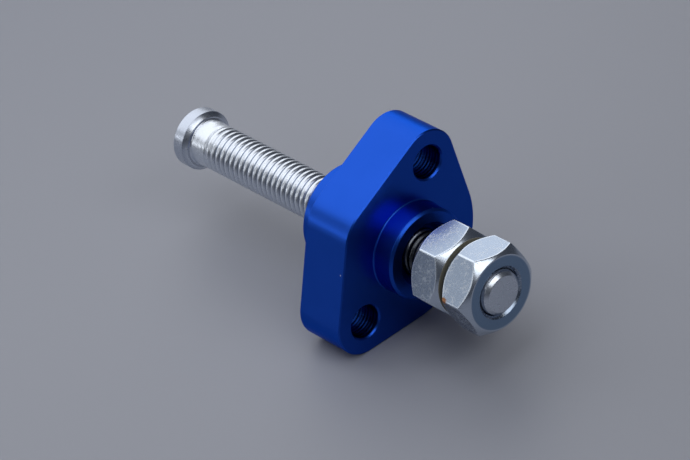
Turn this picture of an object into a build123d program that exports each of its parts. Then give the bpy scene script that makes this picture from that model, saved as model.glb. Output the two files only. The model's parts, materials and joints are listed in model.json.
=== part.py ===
from build123d import *

import os
from math import acos, atan2, degrees, hypot, sqrt

# Manual cam-chain tensioner: an aluminium body bolts over a bore in the engine, and a long bolt
# screws through it to push the chain guide. A lock nut and an end nut sit on the outer thread.
# All sizes in millimetres. The bolt runs along Y with its nuts towards -Y, and the origin is
# where the bolt's axis meets the mounting face. One straight side of the flange faces down.

# Thread: the crest of an M10 x 1.5 bolt, plain here, and the room round it in each threaded bore
THREAD_CREST_D = 9.85
THREAD_ROOM = 0.05

# Flange: the holes lie on a line beside the bolt's axis, which leaves one wide and one narrow side
FLANGE_T = 12.1
HOLE_SPACING = 34.1
HOLE_LINE_OFFSET = 4.15
HOLE_D = 7.0
HOLE_CHAMFER = 0.43
END_R = 7.0
NARROW_ROUND_R = 9.0
NARROW_REACH = 18.0
WIDE_ROUND_R = 17.8
WIDE_REACH = 17.05
FLANGE_CHAMFER = 0.4

# Spigot behind the flange, which centres the body in the engine's bore
SPIGOT_D = 21.7
SPIGOT_LENGTH = 8.6
SPIGOT_CHAMFER = 0.6
SPIGOT_MOUTH_CHAMFER = 0.6

# Boss in front of the flange, where the lock nut tightens
BOSS_D = 19.4
BOSS_HEIGHT = 5.1
BOSS_CHAMFER = 0.55
BOSS_MOUTH_CHAMFER = 2.0

# Hexagon nuts, both of one size: across flats, height, corner chamfer and thread mouth
NUT_FLATS = 17.0
NUT_HEIGHT = 8.0
NUT_CHAMFER = 1.77
NUT_MOUTH_CHAMFER = 0.65

# Where the nuts stand: the lock nut's gap to the boss, the end nut's gap to the lock nut, and the
# angle of one corner of each, counted from the line of holes towards the narrow side
LOCK_NUT_GAP = 4.2
END_NUT_GAP = 1.15
LOCK_NUT_CORNER = 79.5
END_NUT_CORNER = 63.9

# Adjuster bolt: its tip beyond the end nut, the bare thread behind the spigot, and its turned head
TIP_PROUD = 0.75
TIP_CHAMFER = 0.65
BARE_THREAD = 40.6
COLLAR_D = 10.0
COLLAR_LENGTH = 2.2
HEAD_D = 13.0
HEAD_T = 4.1
HEAD_FACE_CHAMFER = 0.5
HEAD_NECK_CHAMFER = 0.9

# Stations along the bolt's axis, counted outwards from the mounting face
BORE_R = THREAD_CREST_D / 2 + THREAD_ROOM
SPIGOT_END = -SPIGOT_LENGTH
BOSS_FACE = FLANGE_T + BOSS_HEIGHT
LOCK_NUT_BACK = BOSS_FACE + LOCK_NUT_GAP
END_NUT_BACK = LOCK_NUT_BACK + NUT_HEIGHT + END_NUT_GAP
BOLT_TIP = END_NUT_BACK + NUT_HEIGHT + TIP_PROUD
COLLAR_FRONT = SPIGOT_END - BARE_THREAD
HEAD_FRONT = COLLAR_FRONT - COLLAR_LENGTH
HEAD_BACK = HEAD_FRONT - HEAD_T

# Centres of the flange's rounds, with x along the line of holes and y towards the narrow side
HOLE_POINTS = [(HOLE_SPACING / 2, HOLE_LINE_OFFSET), (-HOLE_SPACING / 2, HOLE_LINE_OFFSET)]
NARROW_CENTRE = (0, NARROW_REACH - NARROW_ROUND_R)
WIDE_CENTRE = (0, WIDE_ROUND_R - WIDE_REACH)
HOLE_LINE_PLANE = Plane((0, HOLE_LINE_OFFSET, 0), z_dir=(0, 1, 0))


def resting_roll():
    """Turn about the bolt's axis that lays the side from the low hole to the wide round level."""
    run_x = HOLE_POINTS[1][0] - WIDE_CENTRE[0]
    run_y = HOLE_POINTS[1][1] - WIDE_CENTRE[1]
    lean = acos((WIDE_ROUND_R - END_R) / hypot(run_x, run_y))
    side_normal = degrees(atan2(run_y, run_x) + lean)
    return 270 - side_normal


# The flange plane lies on the mounting face, and its normal points outwards, along -Y
FLANGE_PLANE = Plane.XZ * Rot(0, 0, resting_roll())


def revolved(profile):
    """Solid of revolution about the local Z axis from (radius, station) points."""
    half_section = make_face(Polyline(*profile, close=True))
    return revolve(Plane.XZ * half_section, Axis.Z)


def turned(profile):
    """Solid of revolution about the bolt's axis from (radius, station) points."""
    return FLANGE_PLANE * revolved(profile)


def half_outline(rounds, side):
    """One side of the flange, up to the line of holes: the hull of its rounds, with straight sides."""
    hull = make_hull([edge for disc in rounds for edge in disc.edges()])
    return split(hull, bisect_by=HOLE_LINE_PLANE, keep=side)


def flange_outline():
    """Narrow and wide side, each the hull of both round ends and of its own round."""
    ends = [Pos(x, y) * Circle(END_R) for x, y in HOLE_POINTS]
    narrow = Pos(*NARROW_CENTRE) * Circle(NARROW_ROUND_R)
    wide = Pos(*WIDE_CENTRE) * Circle(WIDE_ROUND_R)
    return half_outline([*ends, narrow], Keep.TOP) + half_outline([*ends, wide], Keep.BOTTOM)


def flange():
    """Flange plate with a small chamfer along both of its outer edges."""
    plate = extrude(flange_outline(), FLANGE_T)
    ends = plate.faces().sort_by(Axis.Z)
    rims = ends[0].edges() + ends[-1].edges()
    return FLANGE_PLANE * chamfer(rims, FLANGE_CHAMFER)


def spigot_and_boss():
    """Solid core of the body: the spigot behind the flange and the boss in front of it."""
    spigot_r = SPIGOT_D / 2
    boss_r = BOSS_D / 2
    return turned([
        (0, SPIGOT_END),
        (spigot_r - SPIGOT_CHAMFER, SPIGOT_END),
        (spigot_r, SPIGOT_END + SPIGOT_CHAMFER),
        (spigot_r, FLANGE_T / 2),
        (boss_r, FLANGE_T / 2),
        (boss_r, BOSS_FACE - BOSS_CHAMFER),
        (boss_r - BOSS_CHAMFER, BOSS_FACE),
        (0, BOSS_FACE),
    ])


def threaded_bore():
    """Cutter for the bolt's bore, with a wide countersink at the boss and a chamfer at the spigot."""
    return turned([
        (0, SPIGOT_END),
        (BORE_R + SPIGOT_MOUTH_CHAMFER, SPIGOT_END),
        (BORE_R, SPIGOT_END + SPIGOT_MOUTH_CHAMFER),
        (BORE_R, BOSS_FACE - BOSS_MOUTH_CHAMFER),
        (BORE_R + BOSS_MOUTH_CHAMFER, BOSS_FACE),
        (0, BOSS_FACE),
    ])


def fixing_hole(x, y):
    """Cutter for one fixing hole: a through drill with a chamfer at each mouth."""
    hole_r = HOLE_D / 2
    cutter = revolved([
        (0, 0),
        (hole_r + HOLE_CHAMFER, 0),
        (hole_r, HOLE_CHAMFER),
        (hole_r, FLANGE_T - HOLE_CHAMFER),
        (hole_r + HOLE_CHAMFER, FLANGE_T),
        (0, FLANGE_T),
    ])
    return FLANGE_PLANE * Pos(x, y) * cutter


def tensioner_body():
    """Flange, spigot and boss in one piece, bored through for the bolt."""
    body = flange() + spigot_and_boss() - threaded_bore()
    for x, y in HOLE_POINTS:
        body -= fixing_hole(x, y)
    return body


def adjuster_bolt():
    """Turned bolt: round pusher head, plain collar, long thread and a chamfered tip."""
    thread_r = THREAD_CREST_D / 2
    collar_r = COLLAR_D / 2
    head_r = HEAD_D / 2
    return turned([
        (0, HEAD_BACK),
        (head_r - HEAD_FACE_CHAMFER, HEAD_BACK),
        (head_r, HEAD_BACK + HEAD_FACE_CHAMFER),
        (head_r, HEAD_FRONT - HEAD_NECK_CHAMFER),
        (head_r - HEAD_NECK_CHAMFER, HEAD_FRONT),
        (collar_r, HEAD_FRONT),
        (collar_r, COLLAR_FRONT),
        (thread_r, COLLAR_FRONT),
        (thread_r, BOLT_TIP - TIP_CHAMFER),
        (thread_r - TIP_CHAMFER, BOLT_TIP),
        (0, BOLT_TIP),
    ])


def hexagon_nut(back, corner_angle):
    """Hexagon nut with both faces chamfered to a circle and both thread mouths countersunk."""
    front = back + NUT_HEIGHT
    corner_r = NUT_FLATS / sqrt(3)
    face_r = corner_r - NUT_CHAMFER
    mouth_r = BORE_R + NUT_MOUTH_CHAMFER
    hexagon = Rot(0, 0, corner_angle) * RegularPolygon(corner_r, 6)
    prism = FLANGE_PLANE * Pos(0, 0, back) * extrude(hexagon, NUT_HEIGHT)
    blank = turned([
        (BORE_R, back + NUT_MOUTH_CHAMFER),
        (mouth_r, back),
        (face_r, back),
        (corner_r, back + NUT_CHAMFER),
        (corner_r, front - NUT_CHAMFER),
        (face_r, front),
        (mouth_r, front),
        (BORE_R, front - NUT_MOUTH_CHAMFER),
    ])
    return prism & blank


nodes = {
    "tensioner_body": tensioner_body(),
    "adjuster_bolt": adjuster_bolt(),
    "lock_nut": hexagon_nut(LOCK_NUT_BACK, LOCK_NUT_CORNER),
    "end_nut": hexagon_nut(END_NUT_BACK, END_NUT_CORNER),
}

os.makedirs("parts", exist_ok=True)
for name, shape in nodes.items():
    export_step(shape, f"parts/{name}.step")
    print(name, f"{shape.volume:.1f} mm3")
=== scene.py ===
# %% [markdown]
# # A manual cam chain tensioner
#
# The real thing bolts over a hole in an engine's cylinder. Its long bolt screws through a blue body and
# pushes the guide of the cam chain, a lock nut holds the setting, and an end nut takes the spanner.
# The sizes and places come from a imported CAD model, loaded here as a fixed frame. This lesson models each
# of its four pieces again, with the thread, the rounded edges and the finish that the plain solids lack.

# %% Load the frame
import json
import math

import bpy
from mathutils import Matrix, Vector


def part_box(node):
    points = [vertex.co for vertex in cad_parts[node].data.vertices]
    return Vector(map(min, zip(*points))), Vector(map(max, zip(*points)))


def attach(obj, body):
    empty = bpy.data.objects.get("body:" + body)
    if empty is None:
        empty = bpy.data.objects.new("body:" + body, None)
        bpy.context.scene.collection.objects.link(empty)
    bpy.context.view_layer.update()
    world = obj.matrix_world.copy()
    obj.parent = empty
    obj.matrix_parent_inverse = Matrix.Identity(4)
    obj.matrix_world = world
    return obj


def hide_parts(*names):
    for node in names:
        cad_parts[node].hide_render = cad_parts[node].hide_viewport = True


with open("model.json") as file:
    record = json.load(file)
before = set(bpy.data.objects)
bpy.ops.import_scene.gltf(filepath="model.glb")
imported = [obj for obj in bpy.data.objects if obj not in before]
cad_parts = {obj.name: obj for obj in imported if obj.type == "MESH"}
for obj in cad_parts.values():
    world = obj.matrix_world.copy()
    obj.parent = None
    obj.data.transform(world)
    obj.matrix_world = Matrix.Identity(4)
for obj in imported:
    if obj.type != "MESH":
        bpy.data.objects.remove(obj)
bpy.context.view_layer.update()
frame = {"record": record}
MM = 0.001

# %% [markdown]
# The bolt lies along Y, with its nuts towards -Y. Every turned shape is drawn as points of a radius and a
# station, where the station counts outwards, along -Y, from the mounting face. Two directions lie across
# the bolt: `along_holes` runs from one fixing hole to the other, and `to_narrow_side` points from the
# bolt's axis to that line of holes. Both follow from the record's bolt pattern.

# %% Stations and directions
body_low, body_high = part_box("tensioner_body")
bolt_low, bolt_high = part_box("adjuster_bolt")
spigot_end = -body_high.y
boss_face = -body_low.y
bolt_tip = -bolt_low.y
head_back = -bolt_high.y
head_r = bolt_high.z
floor_level = body_low.z

mounts = {mount["name"]: mount for mount in frame["record"]["mounts"]}
spigot_r = mounts["spigot"]["dims"]["r_mm"] * MM
hole_r = mounts["flange_bolts"]["dims"]["hole_r_mm"] * MM
hole_spacing = mounts["flange_bolts"]["dims"]["pcd_mm"] * MM
hole_line = Vector(mounts["flange_bolts"]["pos_m"])
to_narrow_side = hole_line.normalized()
along_holes = Vector((to_narrow_side.z, 0, -to_narrow_side.x))
hole_places = [hole_line + along_holes * side * hole_spacing / 2 for side in (1, -1)]
print(f"boss face {boss_face / MM:.2f}, bolt tip {bolt_tip / MM:.2f}, head back {head_back / MM:.2f} mm")

# %% [markdown]
# The camera comes first, so that each piece can be compared with its picture as soon as it is made. It
# stands at the photograph's angle with a long lens, and leans a little to one side, because the part
# itself leans that way. The lens is worked out for a picture 690 by 460 pixels.

# %% Camera
PICTURE_WIDTH = 690
FOCAL_PIXELS = 3955.7
AIM = Vector((-4.187, 2.992, 0.0375)) * MM
DISTANCE = 793.88 * MM
AZIMUTH = math.radians(-35.258)
ELEVATION = math.radians(34.249)
LEAN = math.radians(-11.004)
SENSOR_WIDTH = 36.0

camera_data = bpy.data.cameras.new("photo_camera")
camera_data.sensor_width = SENSOR_WIDTH
camera_data.lens = FOCAL_PIXELS / PICTURE_WIDTH * SENSOR_WIDTH
camera = bpy.data.objects.new("photo_camera", camera_data)
bpy.context.scene.collection.objects.link(camera)
towards_camera = Vector((
    math.sin(AZIMUTH) * math.cos(ELEVATION),
    -math.cos(AZIMUTH) * math.cos(ELEVATION),
    math.sin(ELEVATION),
))
standing = Matrix.Translation(AIM + towards_camera * DISTANCE)
looking = towards_camera.to_track_quat("Z", "Y").to_matrix().to_4x4()
camera.matrix_world = standing @ looking @ Matrix.Rotation(LEAN, 4, "Z")
bpy.context.scene.camera = camera
print(f"camera lens {camera_data.lens:.1f} mm, {DISTANCE:.3f} m away")

# %% [markdown]
# Most of this part came off a lathe, so one helper does what a lathe does. It draws half of the section as
# a line, by extruding a single vertex from place to place, and spins the line round the bolt's axis. A
# sharp edge catches no light and looks false, so a corner of the section may have an arc of its own. The
# other helper joins or cuts solids with a Boolean modifier, which gives the true curve where two forms
# meet.

# %% Lathe and Boolean helpers
MERGE_DISTANCE = 0.001 * MM
LATHE_SIDES = 192
ARC_STEPS = 4
SHARP_TURN = math.radians(32)


def eased(section, arc_steps=ARC_STEPS):
    """Points of a section whose corners are rounded. Each corner is (radius, station, radius of its arc)."""
    points = []
    for index, (radius, station, arc) in enumerate(section):
        corner = Vector((radius, station))
        if arc == 0:
            points.append(corner)
            continue
        before = (Vector(section[index - 1][:2]) - corner).normalized()
        after = (Vector(section[(index + 1) % len(section)][:2]) - corner).normalized()
        half = before.angle(after) / 2
        centre = corner + (before + after).normalized() * arc / math.sin(half)
        first = corner + before * arc / math.tan(half) - centre
        last = corner + after * arc / math.tan(half) - centre
        sweep = first.angle(last)
        for step in range(arc_steps + 1):
            share = step / arc_steps
            spoke = first * math.sin((1 - share) * sweep) + last * math.sin(share * sweep)
            points.append(centre + spoke / math.sin(sweep))
    return points


def drawn_line(name, points):
    """A line of (radius, station) points, drawn by extruding one vertex from place to place."""
    places = [Vector((radius, -station, 0)) for radius, station in points]
    bpy.ops.object.select_all(action="DESELECT")
    bpy.ops.mesh.primitive_plane_add(size=MM)
    line = bpy.context.object
    line.name = name
    bpy.ops.object.mode_set(mode="EDIT")
    bpy.ops.mesh.select_mode(type="VERT")
    bpy.ops.mesh.select_all(action="SELECT")
    bpy.ops.mesh.merge(type="CENTER")
    bpy.ops.transform.translate(value=places[0])
    for here, there in zip(places, places[1:]):
        bpy.ops.mesh.extrude_region_move(TRANSFORM_OT_translate={"value": there - here})
    bpy.ops.object.mode_set(mode="OBJECT")
    return line


def turned(name, section, ring=False):
    """A solid turned about the bolt's axis. A ring's section is closed. Other sections end on the axis."""
    points = eased(section)
    if ring:
        points.append(points[0])
    piece = drawn_line(name, points)
    bpy.ops.object.mode_set(mode="EDIT")
    bpy.ops.mesh.select_all(action="SELECT")
    bpy.ops.mesh.spin(steps=LATHE_SIDES, angle=math.tau, center=(0, 0, 0), axis=(0, 1, 0))
    bpy.ops.mesh.select_all(action="SELECT")
    bpy.ops.mesh.remove_doubles(threshold=MERGE_DISTANCE)
    bpy.ops.mesh.normals_make_consistent(inside=False)
    bpy.ops.object.mode_set(mode="OBJECT")
    return piece


def apply_modifier(piece, modifier):
    """Make the modifier part of the piece's mesh."""
    bpy.context.view_layer.objects.active = piece
    bpy.ops.object.modifier_apply(modifier=modifier.name)


def combine(piece, other, operation):
    """Join, cut or intersect the piece with another solid, which is used up."""
    modifier = piece.modifiers.new("combine", "BOOLEAN")
    modifier.operation = operation
    modifier.solver = "EXACT"
    modifier.object = other
    apply_modifier(piece, modifier)
    bpy.data.objects.remove(other)


def smooth(piece, sharp_turn=SHARP_TURN):
    """Smooth shading over every edge that turns less than the angle, with the flat faces kept flat."""
    bpy.ops.object.select_all(action="DESELECT")
    piece.select_set(True)
    bpy.context.view_layer.objects.active = piece
    bpy.ops.object.shade_smooth_by_angle(angle=sharp_turn)
    modifier = piece.modifiers.new("flat faces", "WEIGHTED_NORMAL")
    modifier.keep_sharp = True
    apply_modifier(piece, modifier)


def clear_selection(kind):
    """Select nothing on the active piece, and set whether vertices, edges or faces are selected next."""
    bpy.ops.object.mode_set(mode="EDIT")
    bpy.ops.mesh.select_mode(type=kind)
    bpy.ops.mesh.select_all(action="DESELECT")
    bpy.ops.object.mode_set(mode="OBJECT")


def edge_uses(piece):
    """How many faces meet at each edge of the piece."""
    uses = {}
    for face in piece.data.polygons:
        for key in face.edge_keys:
            uses[key] = uses.get(key, 0) + 1
    return uses


def report(piece):
    """Print how large a finished piece is, and whether it is closed."""
    piece.data.calc_loop_triangles()
    open_edges = sum(1 for count in edge_uses(piece).values() if count != 2)
    print(f"{piece.name}: {len(piece.data.loop_triangles)} triangles, {open_edges} open edges")


print("helpers ready")

# %% [markdown]
# ## The body's flange
#
# On the real part a flat bar was milled round four circles: one at each fixing hole, one on the narrow
# side and a large one on the wide side round the bolt. The straight sides touch those circles. A convex
# hull round four upright posts gives that outline exactly, without working out where each side touches.
# The large post would stick out past the narrow side too, so it is first cut off at the line of holes. The
# rims are then broken with a small flat chamfer, which draws the thin bright line in the picture.

# %% Four posts, the large one cut at the line of holes
FLANGE_T = 12.1 * MM
END_R = 7.0 * MM
NARROW_R = 9.0 * MM
NARROW_REACH = 18.0 * MM
WIDE_R = 17.8 * MM
WIDE_REACH = 17.05 * MM
POST_SIDES = 288

posts = []
for centre, radius in (
    (hole_places[0], END_R),
    (hole_places[1], END_R),
    (to_narrow_side * (NARROW_REACH - NARROW_R), NARROW_R),
    (to_narrow_side * (WIDE_R - WIDE_REACH), WIDE_R),
):
    bpy.ops.object.select_all(action="DESELECT")
    bpy.ops.mesh.primitive_cylinder_add(
        vertices=POST_SIDES,
        radius=radius,
        depth=FLANGE_T,
        location=centre + Vector((0, -FLANGE_T / 2, 0)),
        rotation=(math.pi / 2, 0, 0),
    )
    bpy.ops.object.transform_apply(location=True, rotation=True, scale=True)
    posts.append(bpy.context.object)
bpy.ops.object.mode_set(mode="EDIT")
bpy.ops.mesh.select_all(action="SELECT")
bpy.ops.mesh.bisect(plane_co=hole_line, plane_no=to_narrow_side, clear_outer=True)
bpy.ops.object.mode_set(mode="OBJECT")
print("large post keeps", len(posts[-1].data.vertices), "of", 2 * POST_SIDES, "corners")

# %% Hull of the posts
FLANGE_EDGE = 0.25 * MM
SAME_PLANE_TURN = math.radians(0.1)
FACES_ALONG_Y = 0.99

for post in posts:
    post.select_set(True)
bpy.ops.object.join()
body = bpy.context.object
body.name = "blue_body"
bpy.ops.object.mode_set(mode="EDIT")
bpy.ops.mesh.select_all(action="SELECT")
bpy.ops.mesh.convex_hull()
bpy.ops.mesh.select_all(action="SELECT")
bpy.ops.mesh.dissolve_limited(angle_limit=SAME_PLANE_TURN)
clear_selection("FACE")
for face in body.data.polygons:
    face.select = abs(face.normal.y) > FACES_ALONG_Y
bpy.ops.object.mode_set(mode="EDIT")
bpy.ops.mesh.region_to_loop()
bpy.ops.mesh.bevel(offset=FLANGE_EDGE, segments=1, affect="EDGES")
bpy.ops.object.mode_set(mode="OBJECT")
report(body)

# %% [markdown]
# ## Spigot, boss and holes
#
# The spigot behind the flange centres the body in the engine, and the boss in front takes the lock nut.
# Both are turned round the bolt, so they are one lathe shape, joined to the plate. A small hollow arc at
# the foot of the boss is what catches the light there. The bore is cut with a wide countersink. The fixing
# holes get a chamfer at each mouth and the ridges that a boring tool left in their walls.

# %% Join the turned core
BOSS_R = 9.7 * MM
BOSS_CHAMFER = 0.5 * MM
BOSS_FOOT_ARC = 0.35 * MM
SPIGOT_CHAMFER = 0.6 * MM
CORNER_ARC = 0.12 * MM
UNDER_FACE = 0.002 * MM

inside_plate = FLANGE_T / 2
foot = FLANGE_T - UNDER_FACE
core = turned("core", [
    (0, spigot_end, 0),
    (spigot_r - SPIGOT_CHAMFER, spigot_end, CORNER_ARC),
    (spigot_r, spigot_end + SPIGOT_CHAMFER, CORNER_ARC),
    (spigot_r, inside_plate, 0),
    (BOSS_R + 2 * BOSS_FOOT_ARC, inside_plate, 0),
    (BOSS_R + 2 * BOSS_FOOT_ARC, foot, 0),
    (BOSS_R, foot, BOSS_FOOT_ARC),
    (BOSS_R, boss_face - BOSS_CHAMFER, CORNER_ARC),
    (BOSS_R - BOSS_CHAMFER, boss_face, CORNER_ARC),
    (0, boss_face, 0),
])
combine(body, core, "UNION")
report(body)

# %% Cut the bore and the fixing holes
BORE_R = 4.975 * MM
BOSS_MOUTH = 2.0 * MM
SPIGOT_MOUTH = 0.6 * MM
HOLE_CHAMFER = 0.4 * MM
RIDGE_PITCH = 0.8 * MM
RIDGE_DEPTHS = [0.07 * MM, 0.03 * MM, 0.06 * MM, 0.02 * MM, 0.05 * MM]
RIDGE_SHARES = (0.30, 0.55, 0.75, 1.0)
PAST_FACE = 1.0 * MM

bore = turned("bore", [
    (0, spigot_end - PAST_FACE, 0),
    (BORE_R + SPIGOT_MOUTH + PAST_FACE, spigot_end - PAST_FACE, 0),
    (BORE_R, spigot_end + SPIGOT_MOUTH, CORNER_ARC),
    (BORE_R, boss_face - BOSS_MOUTH, CORNER_ARC),
    (BORE_R + BOSS_MOUTH, boss_face + UNDER_FACE, CORNER_ARC),
    (BORE_R + BOSS_MOUTH + PAST_FACE, boss_face + UNDER_FACE, 0),
    (BORE_R + BOSS_MOUTH + PAST_FACE, boss_face + PAST_FACE, 0),
    (0, boss_face + PAST_FACE, 0),
])
combine(body, bore, "DIFFERENCE")

ridge_count = int((FLANGE_T - 2 * HOLE_CHAMFER) / RIDGE_PITCH)
ridge_step = (FLANGE_T - 2 * HOLE_CHAMFER) / ridge_count
for place in hole_places:
    section = [
        (0, -PAST_FACE, 0),
        (hole_r + HOLE_CHAMFER + PAST_FACE, -PAST_FACE, 0),
        (hole_r, HOLE_CHAMFER, 0),
    ]
    for ridge in range(ridge_count):
        start = HOLE_CHAMFER + ridge * ridge_step
        deep = hole_r + RIDGE_DEPTHS[ridge % len(RIDGE_DEPTHS)]
        for share, wall in zip(RIDGE_SHARES, (hole_r, deep, deep, hole_r)):
            section.append((wall, start + share * ridge_step, 0))
    section += [
        (hole_r + HOLE_CHAMFER, FLANGE_T + UNDER_FACE, CORNER_ARC),
        (hole_r + HOLE_CHAMFER + PAST_FACE, FLANGE_T + UNDER_FACE, 0),
        (hole_r + HOLE_CHAMFER + PAST_FACE, FLANGE_T + PAST_FACE, 0),
        (0, FLANGE_T + PAST_FACE, 0),
    ]
    drill = turned("drill", section)
    drill.location = place
    combine(body, drill, "DIFFERENCE")
smooth(body)
report(body)

# %% [markdown]
# ## The adjuster bolt
#
# A thread could be a bump in the material, but its grooves are deep enough to shade and to break the light
# into rows of glints, so it is modelled. One pitch of the section is drawn as a line, and a Screw modifier
# winds it along the axis, right-handed: seen along -Y it turns from X towards Z as it goes. The rolled
# crests are broad and rounded. At the collar the groove fades out over its last turns, as a thread does
# where the tool left the work. The wound skin is closed, cut to the bolt's length by a turned bar with a
# chamfered tip, and joined to the turned head and collar.

# %% Wind the thread
PITCH = 1.5 * MM
CREST_R = 4.925 * MM
ROOT_R = 4.52 * MM
CREST_WIDTH = 0.72 * MM
ROOT_WIDTH = 0.12 * MM
CREST_ARC = 0.45 * MM
ROOT_ARC = 0.05 * MM
THREAD_ARC_STEPS = 2
WIND_STEPS = 72
COLLAR_R = 5.0 * MM
COLLAR_LENGTH = 2.2 * MM
COLLAR_TAPER = 0.8 * MM
HEAD_T = 4.1 * MM
FADE_LENGTH = 6.0 * MM
CREST_STATION = -47.59 * MM
CREST_ANGLE = math.radians(146.3)
SPARE_TURNS = 2

head_front = head_back + HEAD_T
collar_front = head_front + COLLAR_LENGTH
crest_on_x = CREST_STATION - PITCH * CREST_ANGLE / math.tau
first_crest = crest_on_x - SPARE_TURNS * PITCH
turns = math.ceil((bolt_tip - first_crest) / PITCH) + SPARE_TURNS

pitch_points = eased([
    (ROOT_R, first_crest - PITCH / 2, 0),
    (ROOT_R, first_crest - (PITCH - ROOT_WIDTH) / 2, ROOT_ARC),
    (CREST_R, first_crest - CREST_WIDTH / 2, CREST_ARC),
    (CREST_R, first_crest + CREST_WIDTH / 2, CREST_ARC),
    (ROOT_R, first_crest + (PITCH - ROOT_WIDTH) / 2, ROOT_ARC),
    (ROOT_R, first_crest + PITCH / 2, 0),
], arc_steps=THREAD_ARC_STEPS)
bolt = drawn_line("adjuster_bolt_threaded", pitch_points)
winding = bolt.modifiers.new("winding", "SCREW")
winding.axis = "Y"
winding.angle = -math.tau
winding.screw_offset = -PITCH
winding.iterations = turns
winding.steps = WIND_STEPS
winding.render_steps = WIND_STEPS
winding.use_merge_vertices = True
winding.merge_threshold = MERGE_DISTANCE
apply_modifier(bolt, winding)
bpy.ops.object.mode_set(mode="EDIT")
bpy.ops.mesh.select_all(action="SELECT")
bpy.ops.mesh.remove_doubles(threshold=MERGE_DISTANCE)
bpy.ops.object.mode_set(mode="OBJECT")
print(f"{turns} turns, {len(bolt.data.polygons)} faces")

# %% Fade the groove out at the collar
for vertex in bolt.data.vertices:
    depth = min(1.0, max(0.0, (-vertex.co.y - collar_front) / FADE_LENGTH))
    share = depth * depth * (3 - 2 * depth)
    radius = math.hypot(vertex.co.x, vertex.co.z)
    wanted = CREST_R - (CREST_R - radius) * share
    vertex.co.x *= wanted / radius
    vertex.co.z *= wanted / radius
print("groove fades over", round(FADE_LENGTH / MM, 1), "mm")

# %% Close both ends of the winding
middle = -(first_crest + bolt_tip) / 2
for end in (1, -1):
    clear_selection("EDGE")
    uses = edge_uses(bolt)
    for edge in bolt.data.edges:
        where = bolt.data.vertices[edge.vertices[0]].co.y
        edge.select = uses.get(edge.key, 0) == 1 and (where - middle) * end > 0
    bpy.ops.object.mode_set(mode="EDIT")
    bpy.ops.mesh.extrude_edges_move(TRANSFORM_OT_translate={"value": (0, end * PITCH, 0)})
    bpy.ops.mesh.merge(type="CENTER")
    bpy.ops.object.mode_set(mode="OBJECT")
bpy.ops.object.mode_set(mode="EDIT")
bpy.ops.mesh.select_all(action="SELECT")
bpy.ops.mesh.normals_make_consistent(inside=False)
bpy.ops.object.mode_set(mode="OBJECT")
report(bolt)

# %% Cut the bolt to length and add its head
TIP_R = 3.85 * MM
TIP_CHAMFER = 0.7 * MM
TIP_ARC = 0.25 * MM
TIP_LEAD = 1.4 * MM
HEAD_FACE_CHAMFER = 0.5 * MM
HEAD_NECK_CHAMFER = 0.9 * MM
HEAD_ARC = 0.2 * MM
NECK_ARC = 0.45 * MM
BAR_R = 8.0 * MM
THREAD_SHARP_TURN = math.radians(40)

lead_r = TIP_R + TIP_CHAMFER
lead_start = bolt_tip - TIP_CHAMFER
lead_length = TIP_LEAD * (BAR_R - lead_r) / (CREST_R - lead_r)
bar = turned("bar", [
    (0, collar_front - COLLAR_LENGTH / 2, 0),
    (BAR_R, collar_front - COLLAR_LENGTH / 2, 0),
    (BAR_R, lead_start - lead_length, 0),
    (lead_r, lead_start, TIP_ARC),
    (TIP_R, bolt_tip, TIP_ARC),
    (0, bolt_tip, 0),
])
combine(bolt, bar, "INTERSECT")
report(bolt)
head = turned("head", [
    (0, head_back, 0),
    (head_r - HEAD_FACE_CHAMFER, head_back, HEAD_ARC),
    (head_r, head_back + HEAD_FACE_CHAMFER, HEAD_ARC),
    (head_r, head_front - HEAD_NECK_CHAMFER, HEAD_ARC),
    (head_r - HEAD_NECK_CHAMFER, head_front, HEAD_ARC),
    (COLLAR_R, head_front, NECK_ARC),
    (COLLAR_R, collar_front - COLLAR_TAPER, COLLAR_TAPER),
    (CREST_R - UNDER_FACE, collar_front, 0),
    (0, collar_front, 0),
])
combine(bolt, head, "UNION")
smooth(bolt, THREAD_SHARP_TURN)
report(bolt)

# %% [markdown]
# ## The two nuts
#
# A hexagon nut is a hexagon bar whose ends were turned to a cone, so it is made the same way: a six-sided
# prism with softened upright edges is intersected with a turned ring. That gives the curved edge where the
# cone meets each flat. A fine bevel then breaks those curved edges, which are worn bright in the picture.

# %% Hexagon nuts
NUT_FLATS = 17.0 * MM
NUT_CHAMFER = 1.77 * MM
NUT_MOUTH = 0.65 * MM
NUT_UPRIGHT_EDGE = 0.22 * MM
NUT_RIM_EDGE = 0.13 * MM
NUT_RIM_TURN = math.radians(24)
NUT_SPARE = 0.5 * MM
LOCK_CORNER = math.radians(129.18)
END_CORNER = math.radians(113.58)
corner_r = NUT_FLATS / math.sqrt(3)
face_r = corner_r - NUT_CHAMFER


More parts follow.
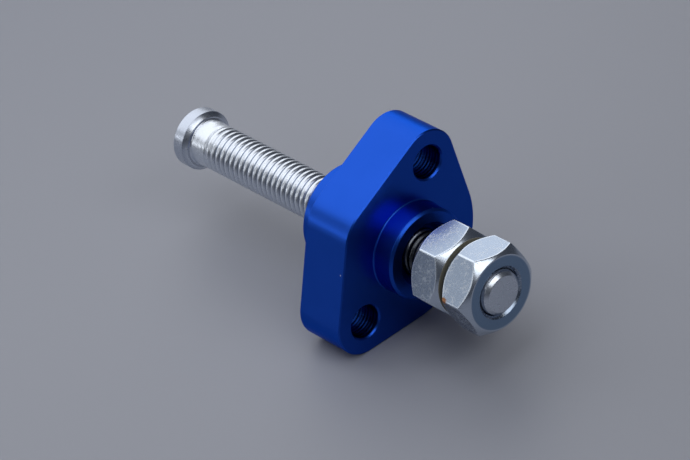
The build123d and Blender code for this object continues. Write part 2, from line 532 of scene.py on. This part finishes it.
def hexagon_nut(name, node, corner_angle):
    """One nut in the place of its solid, with a corner at the given angle from X towards Z."""
    low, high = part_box(node)
    back, front = -high.y, -low.y
    bpy.ops.object.select_all(action="DESELECT")
    bpy.ops.mesh.primitive_cylinder_add(
        vertices=6,
        radius=corner_r,
        depth=front - back + 2 * NUT_SPARE,
        location=(0, -(front + back) / 2, 0),
        rotation=(math.pi / 2, math.pi / 2 - corner_angle, 0),
    )
    nut = bpy.context.object
    nut.name = name
    bpy.ops.object.transform_apply(location=True, rotation=True, scale=True)
    clear_selection("EDGE")
    for edge in nut.data.edges:
        start, end = (nut.data.vertices[index].co for index in edge.vertices)
        edge.select = abs(start.y - end.y) > NUT_SPARE
    bpy.ops.object.mode_set(mode="EDIT")
    bpy.ops.mesh.bevel(offset=NUT_UPRIGHT_EDGE, segments=4, profile=0.5, affect="EDGES")
    bpy.ops.object.mode_set(mode="OBJECT")
    outer_r = corner_r + NUT_SPARE
    rise = outer_r - face_r
    ring = turned("ring", [
        (BORE_R, back + NUT_MOUTH, CORNER_ARC),
        (BORE_R + NUT_MOUTH, back, CORNER_ARC),
        (face_r, back, CORNER_ARC),
        (outer_r, back + rise, 0),
        (outer_r, front - rise, 0),
        (face_r, front, CORNER_ARC),
        (BORE_R + NUT_MOUTH, front, CORNER_ARC),
        (BORE_R, front - NUT_MOUTH, CORNER_ARC),
    ], ring=True)
    combine(nut, ring, "INTERSECT")
    rims = nut.modifiers.new("rims", "BEVEL")
    rims.width = NUT_RIM_EDGE
    rims.segments = 3
    rims.limit_method = "ANGLE"
    rims.angle_limit = NUT_RIM_TURN
    rims.use_clamp_overlap = False
    apply_modifier(nut, rims)
    smooth(nut)
    report(nut)
    return nut


lock_nut = hexagon_nut("inner_lock_nut", "lock_nut", LOCK_CORNER)
end_nut = hexagon_nut("outer_end_nut", "end_nut", END_CORNER)

# %% [markdown]
# ## Finishes
#
# Every finish reads Object coordinates, which are metres in the frame, so a pattern has a real size.
# Effects that several finishes share are node groups. The first gives a place on a turned part in a
# turner's terms: its radius from the bolt's axis, its station along it and its angle round it.

# %% Node helpers


def feed(tree, socket, value):
    """Give an input its value, or link it to another node's output."""
    if isinstance(value, bpy.types.NodeSocket):
        tree.links.new(value, socket)
    else:
        socket.default_value = value


def add(tree, kind, inputs=None, **settings):
    """A new node with its input values and settings."""
    node = tree.nodes.new(kind)
    for name, value in settings.items():
        setattr(node, name, value)
    for name, value in (inputs or {}).items():
        feed(tree, node.inputs[name], value)
    return node


def maths(tree, operation, first, second=None, third=None):
    """The result of one Math node. Each operand is a number or another node's output."""
    node = add(tree, "ShaderNodeMath", operation=operation)
    for socket, value in zip(node.inputs, (first, second, third)):
        if value is not None:
            feed(tree, socket, value)
    return node.outputs[0]


def ramp(tree, value, low, high, to_low=0.0, to_high=1.0):
    """A smooth step from one value to another as the input goes from low to high."""
    node = add(tree, "ShaderNodeMapRange", interpolation_type="SMOOTHSTEP")
    tree.links.new(value, node.inputs["Value"])
    for name, number in (("From Min", low), ("From Max", high), ("To Min", to_low), ("To Max", to_high)):
        node.inputs[name].default_value = number
    return node.outputs["Result"]


def tint(tree, mask, first, second):
    """A colour that goes from the first to the second with the mask."""
    node = add(tree, "ShaderNodeMix", data_type="RGBA")
    tree.links.new(mask, node.inputs["Factor"])
    sockets = [socket for socket in node.inputs if socket.type == "RGBA"]
    for socket, value in zip(sockets, (first, second)):
        feed(tree, socket, value if isinstance(value, bpy.types.NodeSocket) else (*value, 1.0))
    return [socket for socket in node.outputs if socket.type == "RGBA"][0]


def blend(tree, mask, first, second):
    """A number that goes from the first to the second with the mask."""
    return add(tree, "ShaderNodeMix", {"Factor": mask, "A": first, "B": second}).outputs["Result"]


def new_group(name, inputs, outputs):
    """An empty shader node group with number sockets, and its input and output nodes."""
    group = bpy.data.node_groups.new(name, "ShaderNodeTree")
    for socket, value in inputs.items():
        made = group.interface.new_socket(socket, in_out="INPUT", socket_type="NodeSocketFloat")
        made.default_value = value
    for socket in outputs:
        group.interface.new_socket(socket, in_out="OUTPUT", socket_type="NodeSocketFloat")
    return group, add(group, "NodeGroupInput"), add(group, "NodeGroupOutput")


def placed(tree, group, values=None):
    """A copy of a node group in a tree, with its own input values."""
    return add(tree, "ShaderNodeGroup", values, node_tree=group)


def bump_normal(tree, shader, height, strength, distance):
    """Let a height bend the light on the shader's skin."""
    bump = add(tree, "ShaderNodeBump", {"Strength": strength, "Distance": distance, "Height": height})
    tree.links.new(bump.outputs["Normal"], shader.inputs["Normal"])


def new_finish(name):
    """A material with an empty tree but for its Principled shader, which is returned too."""
    material = bpy.data.materials.new(name)
    material.use_nodes = True
    shader = material.node_tree.nodes["Principled BSDF"]
    return material, material.node_tree, shader


print("node helpers ready")

# %% Group: place on a turned part
around_bolt, _, leave = new_group("place on a turned part", {}, ["Radius", "Station", "Angle"])
where = add(around_bolt, "ShaderNodeTexCoord")
split = add(around_bolt, "ShaderNodeSeparateXYZ", {"Vector": where.outputs["Object"]})
x, y, z = split.outputs
squares = maths(around_bolt, "MULTIPLY_ADD", x, x, maths(around_bolt, "MULTIPLY", z, z))
around_bolt.links.new(maths(around_bolt, "SQRT", squares), leave.inputs["Radius"])
around_bolt.links.new(maths(around_bolt, "MULTIPLY", y, -1.0), leave.inputs["Station"])
around_bolt.links.new(maths(around_bolt, "ARCTAN2", z, x), leave.inputs["Angle"])
print("group", around_bolt.name)

# %% [markdown]
# Zinc plating is never quite even: it has a fine sparkle of crystals and larger cloudy patches. Anodised
# aluminium shows the same fine grain more weakly. One group mixes the two scales and serves all finishes.

# %% Group: metal grain
sizes = {"Fine size": 0.3 * MM, "Cloud size": 3.0 * MM}
grain, enter, leave = new_group("metal grain", sizes, ["Fine", "Cloud"])
where = add(grain, "ShaderNodeTexCoord").outputs["Object"]
for size, name, detail in (("Fine size", "Fine", 3.0), ("Cloud size", "Cloud", 2.0)):
    scale = maths(grain, "DIVIDE", 1.0, enter.outputs[size])
    noise = add(grain, "ShaderNodeTexNoise", {"Vector": where, "Scale": scale, "Detail": detail})
    grain.links.new(noise.outputs["Fac"], leave.inputs[name])
print("group", grain.name)

# %% [markdown]
# A lathe leaves fine rings. This group draws them as waves over a length that is fed to it, here the
# station along the boss, and lets them wander with a little noise.

# %% Group: turning marks
RING_SPACING = 0.2 * MM
WANDER_SCALE = 400.0
WANDER_RINGS = 2.0

marks, enter, leave = new_group("turning marks", {"Length": 0.0, "Spacing": RING_SPACING}, ["Height"])
where = add(marks, "ShaderNodeTexCoord").outputs["Object"]
wander = add(marks, "ShaderNodeTexNoise", {"Vector": where, "Scale": WANDER_SCALE, "Detail": 2.0})
phase = maths(marks, "DIVIDE", enter.outputs["Length"], enter.outputs["Spacing"])
phase = maths(marks, "MULTIPLY_ADD", wander.outputs["Fac"], WANDER_RINGS, phase)
wave = maths(marks, "SINE", maths(marks, "MULTIPLY", phase, math.tau))
marks.links.new(maths(marks, "MULTIPLY_ADD", wave, 0.5, 0.5), leave.inputs["Height"])
print("group", marks.name)

# %% [markdown]
# The edges of a nut rub bright. Because the hexagon is known, the distance from a point to the nearest edge
# can be worked out from its radius, station and angle: to the upright edge beside it, and to the rim where
# the cone starts. On the cone itself that distance is nothing, so the whole chamfer comes out bright.

# %% Group: worn hexagon edges
END_FACE_DEPTH = (0.02 * MM, 0.08 * MM)
WORN_SPREAD = (0.3, 1.0)

worn, enter, leave = new_group(
    "worn hexagon edges",
    {"Corner angle": 0.0, "Back": 0.0, "Front": 0.0, "Width": 0.4 * MM},
    ["Worn", "End face"],
)
place = placed(worn, around_bolt)
radius, station, angle = (place.outputs[name] for name in ("Radius", "Station", "Angle"))
sixth = math.tau / 6
turn = maths(worn, "SUBTRACT", angle, enter.outputs["Corner angle"])
folded = maths(worn, "SUBTRACT", maths(worn, "FLOORED_MODULO", turn, sixth), sixth / 2)
across = maths(worn, "ABSOLUTE", maths(worn, "MULTIPLY", radius, maths(worn, "SINE", folded)))
to_upright = maths(worn, "SUBTRACT", corner_r / 2, across)
over_face = maths(worn, "SUBTRACT", radius, face_r)
from_front = maths(worn, "SUBTRACT", enter.outputs["Front"], station)
from_back = maths(worn, "SUBTRACT", station, enter.outputs["Back"])
to_front = maths(worn, "ABSOLUTE", maths(worn, "SUBTRACT", from_front, over_face))
to_back = maths(worn, "ABSOLUTE", maths(worn, "SUBTRACT", from_back, over_face))
nearest = maths(worn, "MINIMUM", to_upright, maths(worn, "MINIMUM", to_front, to_back))
share = maths(worn, "DIVIDE", nearest, enter.outputs["Width"])
worn.links.new(ramp(worn, share, *WORN_SPREAD, 1.0, 0.0), leave.inputs["Worn"])
to_end = maths(worn, "MINIMUM", from_front, from_back)
worn.links.new(ramp(worn, to_end, *END_FACE_DEPTH, 1.0, 0.0), leave.inputs["End face"])
print("group", worn.name)

# %% [markdown]
# A few marks are single spots: a nick in the blue skin, a trace of rust on a corner. This group gives a
# round mask with a ragged rim about any point.

# %% Group: ragged spot
RAGGED_SCALE = 3000.0
SPOT_SPREAD = (1.1, 1.5)

spot, enter, leave = new_group("ragged spot", {"X": 0.0, "Y": 0.0, "Z": 0.0, "Radius": 0.5 * MM}, ["Mask"])
where = add(spot, "ShaderNodeTexCoord").outputs["Object"]
centre = add(spot, "ShaderNodeCombineXYZ", {axis: enter.outputs[axis] for axis in "XYZ"})
away = add(spot, "ShaderNodeVectorMath", {0: where, 1: centre.outputs["Vector"]}, operation="DISTANCE")
rim = add(spot, "ShaderNodeTexNoise", {"Vector": where, "Scale": RAGGED_SCALE, "Detail": 2.0})
share = maths(spot, "DIVIDE", away.outputs["Value"], enter.outputs["Radius"])
share = maths(spot, "ADD", share, rim.outputs["Fac"])
spot.links.new(ramp(spot, share, *SPOT_SPREAD, 1.0, 0.0), leave.inputs["Mask"])
print("group", spot.name)

# %% [markdown]
# ## Blue anodised aluminium
#
# Anodising keeps the metal's mirror but dyes it, so this is a metal with a deep blue colour and a satin
# roughness. Its grazing reflections are tinted too, where a plain metal would turn white. The grain breaks
# the reflections a little, and faint turning marks run round the boss. Inside the fixing holes the colour is
# painted darker, as painted shade in the holes, and two tiny nicks show bare metal.

# %% Blue finish
NICKS = [(-17.35, -11.15, 2.65), (3.79, -16.5, 8.93)]
NICK_R = 0.16 * MM
DEEP_DYE = (0.012, 0.069, 0.44)
PALE_DYE = (0.0155, 0.080, 0.50)
HOLE_WALL_SHADE = (0.004, 0.020, 0.12)
HOLE_WALL_DEPTH = (0.07 * MM, 0.1 * MM)
BARE_METAL = (0.60, 0.68, 0.80)
GRAZING_BLUE = (0.45, 0.55, 1.0, 1.0)
SATIN = (0.28, 0.35)
GRAIN_SPREAD = (0.3, 0.7)
RING_HEIGHT = 2.5

blue, tree, shader = new_finish("blue_anodised")
specks = placed(tree, grain, {"Fine size": 0.12 * MM, "Cloud size": 9.0 * MM})
turning = placed(tree, around_bolt)
rings = placed(tree, marks, {"Length": turning.outputs["Station"], "Spacing": RING_SPACING})
on_boss = ramp(tree, turning.outputs["Radius"], BOSS_R, BOSS_R + BOSS_FOOT_ARC, 1.0, 0.0)
skin_colour = tint(tree, specks.outputs["Cloud"], DEEP_DYE, PALE_DYE)
where = add(tree, "ShaderNodeTexCoord").outputs["Object"]
wall_start, wall_end = (hole_r + depth for depth in HOLE_WALL_DEPTH)
# Painted shade: the colour is made darker inside each fixing hole, where its wall lies in shade.
for place in hole_places:
    flat = add(tree, "ShaderNodeVectorMath", {0: where, 1: (1, 0, 1)}, operation="MULTIPLY")
    away = add(tree, "ShaderNodeVectorMath", {0: flat.outputs["Vector"], 1: place}, operation="DISTANCE")
    wall = ramp(tree, away.outputs["Value"], wall_start, wall_end, 1.0, 0.0)
    skin_colour = tint(tree, wall, skin_colour, HOLE_WALL_SHADE)
for x, y, z in NICKS:
    nick = placed(tree, spot, {"X": x * MM, "Y": y * MM, "Z": z * MM, "Radius": NICK_R})
    skin_colour = tint(tree, nick.outputs["Mask"], skin_colour, BARE_METAL)
tree.links.new(skin_colour, shader.inputs["Base Color"])
tree.links.new(ramp(tree, specks.outputs["Fine"], *GRAIN_SPREAD, *SATIN), shader.inputs["Roughness"])
shader.inputs["Metallic"].default_value = 1.0
shader.inputs["Specular Tint"].default_value = GRAZING_BLUE
turned_skin = maths(tree, "MULTIPLY", rings.outputs["Height"], on_boss)
height = maths(tree, "MULTIPLY_ADD", turned_skin, RING_HEIGHT, specks.outputs["Fine"])
bump_normal(tree, shader, height, strength=0.06, distance=0.04 * MM)
print("finish", blue.name)

# %% [markdown]
# ## Zinc on the bolt
#
# The bolt is bright zinc over a rolled thread, a little greyer on its head. The crests are rubbed smooth,
# and the roots are rougher and painted darker and bluer, as painted shade with a painted blue reflection, so
# colour and roughness follow the radius down into the groove.
# Between the boss and the lock nut the whole thread is painted dark, as painted shade in the gap, which
# thins out under the nut and inside the bore.

# %% Bolt finish
GAP_SHADE_FADE = 5.0 * MM
ROOT_BAND_HEIGHT = 0.15 * MM
ROOT_BAND_FADE = 0.3 * MM
DARK_HEAD = (0.44, 0.485, 0.58)
PALE_HEAD = (0.51, 0.56, 0.65)
SHANK = (0.64, 0.69, 0.77)
ROOT_SHADE = (0.17, 0.22, 0.33)
GAP_SHADE = (0.045, 0.05, 0.06)
ROOT_ROUGHNESS = 0.15
GAP_MOTTLE_SPREAD = (0.62, 0.72)
GAP_MOTTLE = (0.95, 0.45)
BRIGHT = (0.27, 0.31)

lock_back = -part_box("lock_nut")[1].y
bolt_zinc, tree, shader = new_finish("bolt_bright_zinc")
turning = placed(tree, around_bolt)
station = turning.outputs["Station"]
specks = placed(tree, grain, {"Fine size": 0.5 * MM, "Cloud size": 4.0 * MM})
low_down = ramp(tree, turning.outputs["Radius"], ROOT_R, ROOT_R + ROOT_BAND_HEIGHT, 1.0, 0.0)
on_thread = ramp(tree, station, collar_front, collar_front + PITCH)
before_tip = ramp(tree, station, lead_start - ROOT_BAND_FADE, lead_start, 1.0, 0.0)
root = maths(tree, "MULTIPLY", low_down, maths(tree, "MULTIPLY", on_thread, before_tip))
base_colour = tint(tree, specks.outputs["Cloud"], DARK_HEAD, PALE_HEAD)
past_head = ramp(tree, station, head_front - HEAD_NECK_CHAMFER, head_front)
base_colour = tint(tree, past_head, base_colour, SHANK)
# Painted shade: the roots of the thread are coloured darker and bluer, with a painted blue reflection.
base_colour = tint(tree, root, base_colour, ROOT_SHADE)
# Painted shade: the thread between the boss and the lock nut is coloured dark and mottled, fading out under
# the nut and into the bore.
in_gap = ramp(tree, station, boss_face - BOSS_MOUTH - GAP_SHADE_FADE, boss_face)
under_nut = ramp(tree, station, lock_back, lock_back + GAP_SHADE_FADE, 1.0, 0.0)
in_gap = maths(tree, "MULTIPLY", in_gap, under_nut)
gap_mottle = ramp(tree, specks.outputs["Fine"], *GAP_MOTTLE_SPREAD, *GAP_MOTTLE)
base_colour = tint(tree, maths(tree, "MULTIPLY", in_gap, gap_mottle), base_colour, GAP_SHADE)
tree.links.new(base_colour, shader.inputs["Base Color"])
rough = ramp(tree, specks.outputs["Fine"], *GRAIN_SPREAD, *BRIGHT)
rough = maths(tree, "MULTIPLY_ADD", root, ROOT_ROUGHNESS, rough)
tree.links.new(rough, shader.inputs["Roughness"])
shader.inputs["Metallic"].default_value = 1.0
bump_normal(tree, shader, specks.outputs["Fine"], strength=0.01, distance=0.04 * MM)
print("finish", bolt_zinc.name)

# %% [markdown]
# ## Zinc on the nuts
#
# The nuts have a bluer, darker plating than the bolt. Their flats are mottled where it took the grain of
# the forged steel, their turned end faces are smooth and painted darker, as painted shade, and their edges
# and chamfers are rubbed bright. Each nut has its own copy of the finish, because the worn edges follow its
# own corners and faces. The lock nut's faces are dull with grime, and the end nut has a trace of rust on one
# corner.

# %% Nut finish
WORN_WIDTH = 0.42 * MM
CLOUD_SHARE = 0.5
SCUFF_SPREAD = (0.78, 0.92)
PLAIN_FLAT, PLAIN_ROUGHNESS = (0.30, 0.365, 0.47), 0.25
SCUFFED_FLAT, SCUFFED_ROUGHNESS = (0.49, 0.55, 0.64), 0.41
SHADED_END_FACE, END_FACE_ROUGHNESS = (0.22, 0.32, 0.46), 0.24
WORN_EDGE, WORN_EDGE_ROUGHNESS = (0.58, 0.65, 0.75), 0.26
GRIME = (0.26, 0.24, 0.18)
DULL = 0.1


def nut_finish(name, node, corner_angle):
    """Mottled zinc with bright worn edges for one nut, with its tree, shader, colour and edge masks."""
    low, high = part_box(node)
    material, tree, shader = new_finish(name)
    specks = placed(tree, grain, {"Fine size": 0.38 * MM, "Cloud size": 2.2 * MM})
    edges = placed(tree, worn, {
        "Corner angle": corner_angle,
        "Back": -high.y,
        "Front": -low.y,
        "Width": WORN_WIDTH,
    })
    on_end, on_edge = edges.outputs["End face"], edges.outputs["Worn"]
    uneven = maths(tree, "MULTIPLY_ADD", specks.outputs["Cloud"], CLOUD_SHARE, specks.outputs["Fine"])
    scuffed = ramp(tree, uneven, *SCUFF_SPREAD)
    base_colour = tint(tree, scuffed, PLAIN_FLAT, SCUFFED_FLAT)
    # Painted shade: the turned end faces are coloured darker than the flats.
    base_colour = tint(tree, on_end, base_colour, SHADED_END_FACE)
    base_colour = tint(tree, on_edge, base_colour, WORN_EDGE)
    rough = blend(tree, scuffed, PLAIN_ROUGHNESS, SCUFFED_ROUGHNESS)
    rough = blend(tree, on_end, rough, END_FACE_ROUGHNESS)
    rough = blend(tree, on_edge, rough, WORN_EDGE_ROUGHNESS)
    tree.links.new(rough, shader.inputs["Roughness"])
    bump_normal(tree, shader, specks.outputs["Cloud"], strength=0.04, distance=0.05 * MM)
    print("finish", material.name)
    return material, tree, shader, base_colour, edges


lock_zinc, tree, shader, base_colour, edges = nut_finish("lock_nut_zinc", "lock_nut", LOCK_CORNER)
grime = edges.outputs["End face"]
tree.links.new(tint(tree, grime, base_colour, GRIME), shader.inputs["Base Color"])
tree.links.new(ramp(tree, grime, 0.0, 1.0, 1.0, DULL), shader.inputs["Metallic"])

# %% Rust on the end nut
RUST_R = 1.1 * MM
RUST_BEHIND_RIM = 1.9 * MM
RUST = (0.30, 0.12, 0.035)

end_zinc, tree, shader, base_colour, _ = nut_finish("end_nut_zinc", "end_nut", END_CORNER)
rusty_corner = END_CORNER + sixth
rust = placed(tree, spot, {
    "X": corner_r * math.cos(rusty_corner),
    "Y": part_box("end_nut")[1].y - RUST_BEHIND_RIM,
    "Z": corner_r * math.sin(rusty_corner),
    "Radius": RUST_R,
})
base_colour = tint(tree, rust.outputs["Mask"], base_colour, RUST)
tree.links.new(base_colour, shader.inputs["Base Color"])
tree.links.new(ramp(tree, rust.outputs["Mask"], 0.0, 1.0, 1.0, DULL), shader.inputs["Metallic"])
print("rust at", round(math.degrees(rusty_corner), 1), "degrees")

# %% [markdown]
# ## Tie each piece to the frame
#
# Each piece takes the place of its plain solid, rides on the body that moves it, and gets its finish.

# %% Ride, replace and give the finish
for piece, node, carrier, slot, material in (
    (body, "tensioner_body", "housing", "blue_anodised_aluminium", blue),
    (bolt, "adjuster_bolt", "bolt", "bolt_zinc", bolt_zinc),
    (lock_nut, "lock_nut", "inner_nut", "nut_zinc", lock_zinc),
    (end_nut, "end_nut", "outer_nut", "nut_zinc", end_zinc),
):
    piece.data.materials.clear()
    piece.data.materials.append(material)
    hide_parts(node)
    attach(piece, carrier)
    print(piece.name, "rides on", carrier)

# %% [markdown]
# ## Floor and light
#
# The floor is plain and pale. The main soft box stands close behind and above, as in the photograph, where
# the light comes over the part towards the camera. Three more carry that light on over the top, down the
# left and down the front, so that no flank of the thread and no chamfer mirrors a dark gap between two
# lamps. Two weak ones open the shadows on the left and the right. A narrow one low on the left draws the
# row of glints along the thread.

# %% Floor
FLOOR_SIZE = 4.0
FLOOR_COLOUR = (0.275, 0.29, 0.34, 1.0)
FLOOR_ROUGHNESS = 0.5

bpy.ops.object.select_all(action="DESELECT")
bpy.ops.mesh.primitive_plane_add(size=FLOOR_SIZE, location=(0, 0, floor_level))
floor = bpy.context.object
floor.name = "floor"
paper, tree, shader = new_finish("pale_floor")
shader.inputs["Base Color"].default_value = FLOOR_COLOUR
shader.inputs["Roughness"].default_value = FLOOR_ROUGHNESS
floor.data.materials.append(paper)
print("floor at", round(floor_level / MM, 3), "mm")

# %% Lights
AIR = (0.05, 0.055, 0.067, 1.0)


def soft_box(name, direction, distance, width, height, radiance):
    """A rectangular lamp that faces the part. Its power follows from its radiance and its area."""
    lamp = bpy.data.lights.new(name, "AREA")
    lamp.shape = "RECTANGLE"
    lamp.size = width
    lamp.size_y = height
    lamp.energy = radiance * math.pi * width * height
    holder = bpy.data.objects.new(name, lamp)
    bpy.context.scene.collection.objects.link(holder)
    towards = Vector(direction).normalized()
    turn = towards.to_track_quat("Z", "Y").to_matrix().to_4x4()
    holder.matrix_world = Matrix.Translation(towards * distance) @ turn
    print(f"{name}: {lamp.energy:.1f} W")


soft_box("key_behind", (0.12, 0.69, 0.71), 0.40, 0.70, 0.36, 1.45)
soft_box("overhead", (-0.26, -0.06, 1.0), 0.28, 0.20, 0.27, 1.5)
soft_box("front_top", (0.02, -0.71, 0.69), 1.1, 0.95, 0.40, 2.2)
soft_box("left_top", (-0.83, -0.05, 0.52), 0.9, 0.7, 0.34, 0.9)
soft_box("left_fill", (-0.74, 0.63, 0.26), 1.2, 0.62, 0.55, 0.65)
soft_box("right_fill", (0.78, 0.62, 0.20), 1.2, 0.62, 0.6, 0.5)
soft_box("low_left", (-0.72, 0.68, 0.17), 1.2, 0.5, 0.06, 3.0)

world = bpy.data.worlds.new("studio")
world.use_nodes = True
world.node_tree.nodes["Background"].inputs["Color"].default_value = AIR
bpy.context.scene.world = world
bpy.context.scene.view_settings.view_transform = "Standard"
